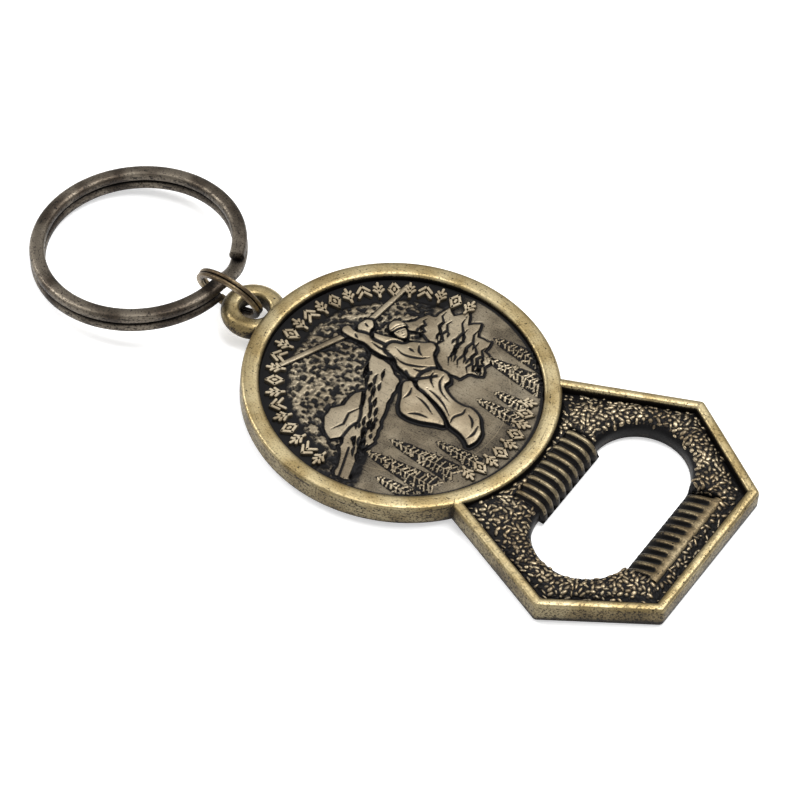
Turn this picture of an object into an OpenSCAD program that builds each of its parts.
// Souvenir bottle opener on a key ring.
// Origin: centre of the medallion on the flat back. +X runs to the opener end,
// +Z comes out of the decorated face, and the lug and rings lie towards -X.

/* [Bezel] */
// Outer diameter of the round bezel
bezel_d = 40; // [36:0.5:46]
// Width of the bezel's rim
bezel_rim_w = 2.3; // [1.6:0.1:3]
// Thickness of the bezel, back to rim top
bezel_t = 3; // [2.6:0.1:4]
// Depth of the seat below the rim top
seat_depth = 1.8; // [1.2:0.1:2]
// Rounding of the rim's top edges
rim_round = 0.7; // [0.3:0.1:0.8]
// Chamfer along the bottom edges
back_chamfer = 0.3; // [0.1:0.05:0.5]

/* [Medallion] */
// Thickness of the medallion's blank
medallion_t = 1.0; // [0.7:0.1:1.2]
// Height of the struck border and relief above the blank
relief_h = 0.35; // [0.2:0.05:0.4]
// Width of the raised border marks
border_w = 0.9; // [0.5:0.1:1.4]
// Number of raised marks round the border
border_marks = 36; // [20:2:48]
// Gap round the medallion in its seat
medallion_fit = 0.05; // [0.02:0.01:0.1]

/* [Opener frame] */
// Distance from the bezel's edge to the hexagon's wide corners
shoulder_reach = 12; // [9:0.5:16]
// Width of the hexagon across its wide corners
shoulder_w = 39.9; // [36:0.5:46]
// Distance from the bezel's edge to the flat end
end_reach = 25.1; // [22:0.1:32]
// Width of the flat end
end_w = 23; // [18:0.5:27]
// Width of the frame where it leaves the bezel
neck_w = 24.7; // [20:0.5:28]
// Height of the hexagonal rim
frame_t = 2.9; // [2.4:0.1:3.8]
// Width of the hexagonal rim
frame_rim_w = 1.5; // [1:0.1:2]
// Bevel on the frame's top edge
frame_bevel = 0.45; // [0.2:0.05:0.8]
// Height of the pebbled field inside the rim
field_t = 2.1; // [1.6:0.1:2.3]

/* [Cap mouth] */
// Distance from the bezel's edge to the middle of the mouth
mouth_reach = 10.8; // [9:0.1:13]
// Length of the mouth across the opener
mouth_w = 26.2; // [24:0.5:28]
// Opening of the mouth along the opener
mouth_l = 12.9; // [11:0.5:15]
// Height of the rounded lip round the mouth
mouth_lip_t = 2.4; // [1.8:0.1:2.8]

/* [Grip ribs] */
// Number of ribs on the fulcrum side
fulcrum_ribs = 9; // [5:1:11]
// Spacing of the fulcrum ribs
fulcrum_pitch = 1.46; // [1.2:0.02:1.7]
// How far the fulcrum reaches into the mouth
fulcrum_reach = 0.8; // [0.6:0.05:2]
// Length of the fulcrum ribs
fulcrum_l = 5; // [3:0.1:5.6]
// Height of the fulcrum ribs above the back
fulcrum_t = 2.85; // [2.2:0.05:3.2]
// Rounding of the fulcrum's shoulder over the mouth
fulcrum_round = 1.6; // [0.5:0.1:2]
// Number of ribs on the catch side
catch_ribs = 11; // [5:1:13]
// Spacing of the catch ribs
catch_pitch = 1.42; // [1:0.02:1.6]
// Length of the catch ribs
catch_l = 3.9; // [2:0.1:4.5]
// Height of the catch ribs at the mouth's edge
catch_low_t = 1.1; // [1:0.05:2]
// Height of the catch ribs at their far end
catch_t = 2.65; // [2.2:0.05:3]
// Width of the plain band behind the catch ribs
catch_band_w = 0.9; // [0.4:0.1:1.4]

/* [Lug] */
// Outer diameter of the lug
lug_d = 8.4; // [7:0.1:10]
// Hole through the lug
lug_hole_d = 3.8; // [3.2:0.1:4.4]
// Thickness of the lug
lug_t = 2.4; // [2:0.1:3]
// Height of the lug's middle above the back
lug_mid_z = 1.45; // [1:0.05:2]
// Rounding of the hole's edges
lug_hole_round = 0.5; // [0.2:0.05:0.7]

/* [Link ring] */
// Free play of the lug and the key ring inside the link ring
link_play = 1.6; // [0.6:0.1:2]
// Radial thickness of the link ring's wire
link_wire_r = 0.85; // [0.6:0.05:1]
// Width of one turn of the link ring's wire
link_wire_w = 0.58; // [0.4:0.02:0.7]
// Rounding of the link ring's wire
link_wire_round = 0.25; // [0.1:0.01:0.27]
// Lean of the link ring from upright
link_roll = 20; // [0:1:25]
// Swing of the link ring at rest, from lying flat towards the opener end
link_swing = 98; // [95:1:120]

/* [Key ring] */
// Outer diameter of the key ring
key_od = 27.5; // [22:0.5:34]
// Radial width of the key ring's wire
key_wire_w = 1.95; // [1.5:0.05:2.4]
// Height of one turn of the key ring's wire
key_wire_h = 1.38; // [1:0.02:1.6]
// Rounding of the wire's edges
key_wire_round = 0.55; // [0.2:0.05:0.6]
// Droop of the key ring at rest
key_droop = 7.8; // [0:0.1:15]
// Place of the upper turn's end round the ring
key_end_angle = 20; // [10:1:60]
// Direction from the lug's tube to the key ring's wire, from lying flat towards the opener end
key_hold_angle = 130; // [120:1:140]

/* [Coils] */
// Least gap between the key ring and the lug
ring_clearance = 0.05; // [0.03:0.01:0.2]
// Gap between two turns of a ring
coil_gap = 0.04; // [0.02:0.01:0.1]
// Angle over which the key ring's wire climbs from turn to turn
key_climb = 26; // [18:1:40]
// Angle over which the link ring's wire climbs from turn to turn
link_climb = 40; // [30:1:60]

/* [Hidden] */
$fn = 96;
eps = 0.01;
through = 1;
// The climbing stretch of a coil is a little thinner than the turns and laps into them
climb_inset = 0.03;
climb_lap = 1;

bezel_r = bezel_d / 2;
seat_r = bezel_r - bezel_rim_w;
seat_z = bezel_t - seat_depth;
medallion_r = seat_r - medallion_fit;

// What joins the bezel ends inside its wall
join_r = bezel_r - bezel_rim_w / 2;
// The frame's neck is hidden inside the bezel
neck_x = 0.75 * bezel_r;
shoulder_x = bezel_r + shoulder_reach;
end_x = bezel_r + end_reach;
hex_half = [[neck_x, neck_w / 2], [shoulder_x, shoulder_w / 2], [end_x, end_w / 2]];

mouth_x = bezel_r + mouth_reach;
mouth_r = mouth_l / 2;
mouth_half = mouth_w / 2 - mouth_r;
mouth_near_x = mouth_x - mouth_r;
mouth_far_x = mouth_x + mouth_r;
mouth_lip_w = 2.1;

// Radius of a rib as a share of the spacing
rib_share = 0.46;
fulcrum_end_x = mouth_near_x + fulcrum_reach;
// Thickness of the floor that a row of ribs stands on
rib_floor = 2;
// How far the catch's floor laps into the frame
catch_lap = 0.2;

lug_r = lug_d / 2;
lug_hole_r = lug_hole_d / 2;
lug_round = lug_t / 2;
// The hole just touches the bezel's wall
lug_x = -bezel_r - lug_hole_r;
// Middle of the lug's outer tube, which the link ring hangs round
lug_tube_x = lug_x - (lug_r + lug_hole_r) / 2;

key_r = key_od / 2;
key_h = 2 * key_wire_h + coil_gap;
key_mid_r = key_r - key_wire_w / 2;
// Furthest point of the key ring's section from its own middle
key_reach = norm([key_wire_w / 2 - key_wire_round, key_h / 2 - key_wire_round]) + key_wire_round;
// Middle of the key ring's wire where the link ring holds it, in the plane y = 0
key_hold_d = lug_round + key_reach + ring_clearance;
key_hold_x = lug_tube_x + key_hold_d * cos(key_hold_angle);
key_hold_z = lug_mid_z + key_hold_d * sin(key_hold_angle);

link_w = 2 * link_wire_w + coil_gap;
// Furthest point of the lug's wall from its middle, as the leaning link ring meets it
lug_corner = norm([(lug_r - lug_hole_r) / 2 - lug_hole_round, lug_t / 2 - lug_hole_round]) + lug_hole_round;
lug_reach = lug_corner / cos(link_roll) + link_w / 2 * tan(link_roll);
link_in_r = (lug_reach + key_hold_d + key_reach + link_play) / 2;
link_r = link_in_r + link_wire_r;
// How far the link ring's centre stands off the middle of the lug's tube
link_offset = link_in_r - lug_reach;

// A rounded rectangle, its corner at the origin
module soft_rect(w, h, r) {
    translate([r, 0]) square([w - 2 * r, h]);
    translate([0, r]) square([w, h - 2 * r]);
    for (x = [r, w - r], y = [r, h - r]) translate([x, y]) circle(r, $fn = 32);
}

// Mirrors a half outline across the X axis to close it
module hexagon(inset = 0) {
    last = len(hex_half) - 1;
    outline = concat(hex_half, [for (i = [last:-1:0]) [hex_half[i][0], -hex_half[i][1]]]);
    if (inset == 0) polygon(outline);
    else offset(delta = -inset) polygon(outline);
}

// The frame's outline between two heights, eased in along one edge
module hex_slab(z0, z1, inset0, inset1) {
    hull() {
        translate([0, 0, z0]) linear_extrude(eps) hexagon(inset0);
        translate([0, 0, z1 - eps]) linear_extrude(eps) hexagon(inset1);
    }
}

module bezel() {
    rotate_extrude() difference() {
        union() {
            square([bezel_r - back_chamfer, bezel_t - rim_round]);
            translate([0, back_chamfer]) square([bezel_r, bezel_t - rim_round - back_chamfer]);
            polygon([[0, 0], [bezel_r - back_chamfer, 0], [bezel_r, back_chamfer], [0, back_chamfer]]);
            translate([seat_r, seat_z - eps]) soft_rect(bezel_rim_w, seat_depth + eps, rim_round);
            translate([seat_r, seat_z - eps]) square([bezel_rim_w, seat_depth - rim_round]);
        }
        translate([0, seat_z]) square([seat_r, seat_depth + through]);
    }
}

module mouth(r_extra = 0, h = 10) {
    for (s = [-1, 1]) translate([mouth_x, s * mouth_half, 0]) cylinder(r = mouth_r + r_extra, h = h);
    translate([mouth_near_x - r_extra, -mouth_half, 0]) cube([mouth_l + 2 * r_extra, 2 * mouth_half, h]);
}

module frame() {
    difference() {
        union() {
            hex_slab(0, back_chamfer, back_chamfer, 0);
            translate([0, 0, back_chamfer])
                linear_extrude(frame_t - frame_bevel - back_chamfer) hexagon();
            hex_slab(frame_t - frame_bevel, frame_t, 0, frame_bevel);
        }
        difference() {
            translate([0, 0, field_t]) linear_extrude(bezel_t) hexagon(frame_rim_w);
            mouth(mouth_lip_w, mouth_lip_t);
        }
        translate([0, 0, -through]) mouth(0, bezel_t + 2 * through);
    }
}

// Half-round ribs side by side along X on a thick floor, their tops at height 0
module rib_bar(count, pitch, length) {
    width = (count - 1) * pitch;
    rib_r = rib_share * pitch;
    side = width / 2 + rib_r + catch_lap;
    for (i = [0:count - 1]) translate([0, i * pitch - width / 2, -rib_r])
        rotate([0, 90, 0]) cylinder(r = rib_r, h = length, $fn = 24);
    translate([0, -side, -rib_r - rib_floor]) cube([length, 2 * side, rib_floor]);
}

// Ribs whose tops rise along X from low to top, cut off square at both ends
module ribs(count, pitch, x0, length, low, top) {
    slope = atan((top - low) / length);
    long = length / cos(slope) + 2 * through;
    intersection() {
        translate([x0, 0, low]) rotate([0, -slope, 0]) translate([-through, 0, 0])
            rib_bar(count, pitch, long);
        translate([x0, -bezel_r, catch_lap / 2]) cube([length, 2 * bezel_r, bezel_t + through]);
    }
}

// The fulcrum's ribs, rounded off over the mouth
module fulcrum() {
    x0 = fulcrum_end_x - fulcrum_l;
    turn_x = fulcrum_end_x - fulcrum_round;
    turn_z = fulcrum_t - fulcrum_round;
    intersection() {
        ribs(fulcrum_ribs, fulcrum_pitch, x0, fulcrum_l, fulcrum_t, fulcrum_t);
        translate([0, bezel_r, 0]) rotate([90, 0, 0]) linear_extrude(2 * bezel_r) {
            translate([x0 - through, -through]) square([turn_x - x0 + through, fulcrum_t + 2 * through]);
            translate([x0 - through, -through]) square([fulcrum_end_x - x0 + through, turn_z + through]);
            translate([turn_x, turn_z]) circle(fulcrum_round, $fn = 64);
        }
    }
}

// Room for the catch's ribs, open towards the mouth
module catch_room() {
    rib_r = rib_share * catch_pitch;
    // A little wider than the ribs, so its walls stand clear of the outer ones
    half = (catch_ribs - 1) * catch_pitch / 2 + rib_r + catch_lap / 2;
    drop = rib_r + catch_lap;
    translate([0, half, 0]) rotate([90, 0, 0]) linear_extrude(2 * half)
        polygon([
            [mouth_far_x - mouth_r, catch_low_t - drop],
            [mouth_far_x, catch_low_t - drop],
            [mouth_far_x + catch_l - catch_lap, catch_t - drop],
            [mouth_far_x + catch_l - catch_lap, bezel_t + through],
            [mouth_far_x - mouth_r, bezel_t + through]
        ]);
}

// The catch's ribs, a ramp up from the mouth with a plain band behind it
module catch() {
    half = ((catch_ribs - 1) * catch_pitch + rib_share * catch_pitch) / 2;
    // The ribs stop inside the band and under its top
    sunk = catch_lap / 2;
    ribs(catch_ribs, catch_pitch, mouth_far_x, catch_l - sunk, catch_low_t, catch_t - sunk);
    translate([mouth_far_x + catch_l - catch_lap, -half, seat_z])
        cube([catch_band_w, 2 * half, catch_t - seat_z]);
}

module lug() {
    rotate_extrude() translate([0, -lug_t / 2]) difference() {
        union() {
            square([lug_r - lug_round, lug_t]);
            translate([lug_r - lug_round, lug_round]) circle(lug_round, $fn = 48);
        }
        translate([-eps, -through]) square([lug_hole_r + eps, lug_t + 2 * through]);
        for (z = [0, 1]) translate([lug_hole_r, z * lug_t]) mirror([0, z]) difference() {
            translate([-eps, -eps]) square(lug_hole_round + eps);
            translate([lug_hole_round, lug_hole_round]) circle(lug_hole_round, $fn = 32);
        }
    }
}

module opener_body() {
    color([0.66, 0.56, 0.36]) {
        bezel();
        difference() {
            union() {
                difference() {
                    frame();
                    catch_room();
                }
                fulcrum();
                catch();
                translate([lug_x, 0, lug_mid_z]) lug();
            }
            translate([0, 0, -through]) cylinder(r = join_r, h = bezel_t + 2 * through);
        }
    }
}

// A struck disc with a ring of plain raised marks
module medallion() {
    mark_r = medallion_r - 1.6 * border_w;
    color([0.55, 0.48, 0.34]) translate([0, 0, seat_z]) {
        cylinder(r = medallion_r, h = medallion_t);
        difference() {
            cylinder(r = medallion_r, h = medallion_t + relief_h);
            translate([0, 0, medallion_t - through])
                cylinder(r = medallion_r - border_w / 2, h = relief_h + 2 * through);
        }
        for (i = [0:border_marks - 1]) rotate(i * 360 / border_marks)
            translate([mark_r - border_w, -border_w / 4, medallion_t - eps])
                cube([border_w, border_w / 2, relief_h + eps]);
    }
}

// One turn's section, thinned by an inset and swept over an angle at a height
module turn(r, wire_w, wire_h, round_r, angle, z, inset = 0) {
    translate([0, 0, z - wire_h / 2 + inset]) rotate_extrude(angle = angle)
        translate([r - wire_w + inset, 0])
            soft_rect(wire_w - 2 * inset, wire_h - 2 * inset, round_r - inset);
}

// A ring of two turns about the Z axis, its middle at the origin and its upper end at angle 0.
// Each turn stops short, and the wire climbs from the lower to the upper one in the space left.
module coil(r, wire_w, wire_h, round_r, climb) {
    rise = wire_h + coil_gap;
    slope = atan(rise / ((r - wire_w / 2) * climb * PI / 180));
    for (level = [-1, 1]) rotate(climb) turn(r, wire_w, wire_h, round_r, 360 - climb, level * rise / 2);
    rotate(climb / 2) rotate([slope, 0, 0]) rotate(-climb / 2 - climb_lap)
        turn(r, wire_w, wire_h, round_r, climb + 2 * climb_lap, 0, climb_inset);
}

module link_ring() {
    color([0.58, 0.5, 0.38])
        translate([lug_tube_x, 0, lug_mid_z]) rotate([link_roll, 0, 0])
            translate([link_offset * cos(link_swing), 0, link_offset * sin(link_swing)])
                rotate([90, 0, 0]) rotate(200)
                    coil(link_r, link_wire_r, link_wire_w, link_wire_round, link_climb);
}

module key_ring() {
    color([0.42, 0.38, 0.33])
        translate([key_hold_x, 0, key_hold_z]) rotate([0, -key_droop, 0]) translate([-key_mid_r, 0, 0])
            rotate(key_end_angle) mirror([0, 1, 0])
                coil(key_r, key_wire_w, key_wire_h, key_wire_round, key_climb);
}

opener_body();
medallion();
link_ring();
key_ring();
